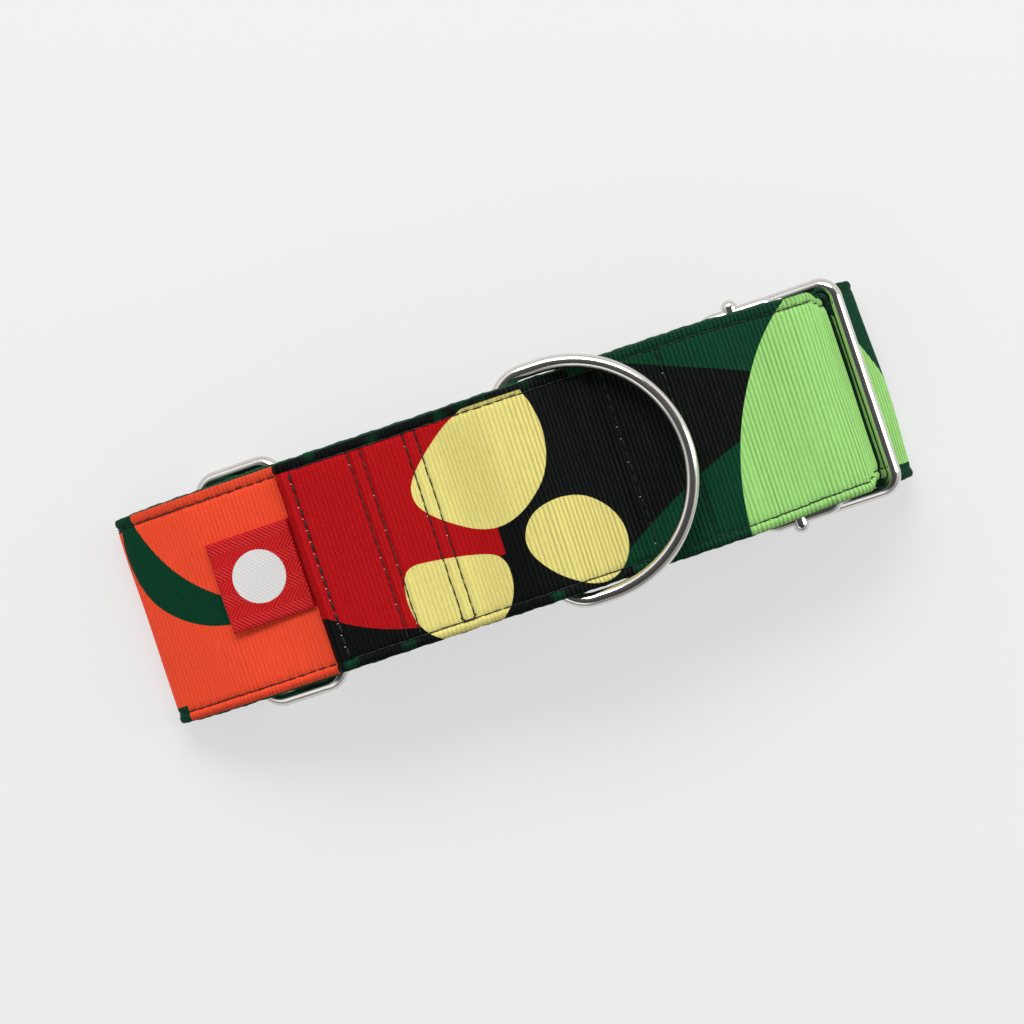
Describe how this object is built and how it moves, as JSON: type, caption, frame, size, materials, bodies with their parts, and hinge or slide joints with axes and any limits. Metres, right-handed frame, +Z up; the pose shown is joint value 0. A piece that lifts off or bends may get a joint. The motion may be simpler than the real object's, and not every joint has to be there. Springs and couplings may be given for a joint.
{
  "type": "martingale collar",
  "caption": "Wide martingale dog collar: ribbon-covered control loop with D-ring, two wire rings, slider and folded neck band.",
  "frame": {"origin": "centre of the bottom of the lying collar, on the surface it rests on", "axes": "+X along the strap towards the slider end, +Y across the strap, +Z up out of the front with the D-ring"},
  "size_m": [0.1809, 0.058, 0.0382],
  "materials": {
    "ribbon": "printed polyester grosgrain, fine cross ribs",
    "webbing": "dark green woven nylon",
    "thread": "black twisted sewing thread",
    "label": "red herringbone woven label",
    "nickel": "bright nickel-plated steel wire"
  },
  "bodies": {
    "strap": {"control_loop_cover": "ribbon", "control_loop_webbing": "webbing", "control_loop_near_edge_thread": "thread", "control_loop_far_edge_thread": "thread", "folded_end_seam_thread": "thread", "d_ring_left_seam_threads": "thread", "d_ring_right_seam_threads": "thread", "neck_band_webbing": "webbing", "neck_band_cover": "ribbon", "neck_band_near_edge_thread": "thread", "neck_band_far_edge_thread": "thread", "neck_band_ring_seam_thread": "thread", "slider_frame": "nickel", "slider_centre_bar": "nickel"},
    "d_ring": {"d_ring": "nickel"},
    "left_ring": {"left_ring": "nickel"},
    "right_ring": {"right_ring": "nickel"},
    "label": {"side_label": "label"}
  },
  "joints": [
    {"name": "d_ring_swing", "type": "hinge", "parent": "strap", "child": "d_ring", "pos_m": [0.0026, 0, 0.0304], "axis": [0, -1, 0], "range_deg": [0, 162]},
    {"name": "left_ring_swing", "type": "hinge", "parent": "strap", "child": "left_ring", "pos_m": [-0.05, 0, 0.0093], "axis": [0, 1, 0], "range_deg": [0, 8]},
    {"name": "right_ring_swing", "type": "hinge", "parent": "strap", "child": "right_ring", "pos_m": [0.06748, 0, 0.01068], "axis": [0, -1, 0], "range_deg": [0, 9]},
    {"name": "label_lift", "type": "hinge", "parent": "strap", "child": "label", "pos_m": [-0.0511, 0, 0.0273], "axis": [0, 1, 0], "range_deg": [0, 40]}
  ]
}
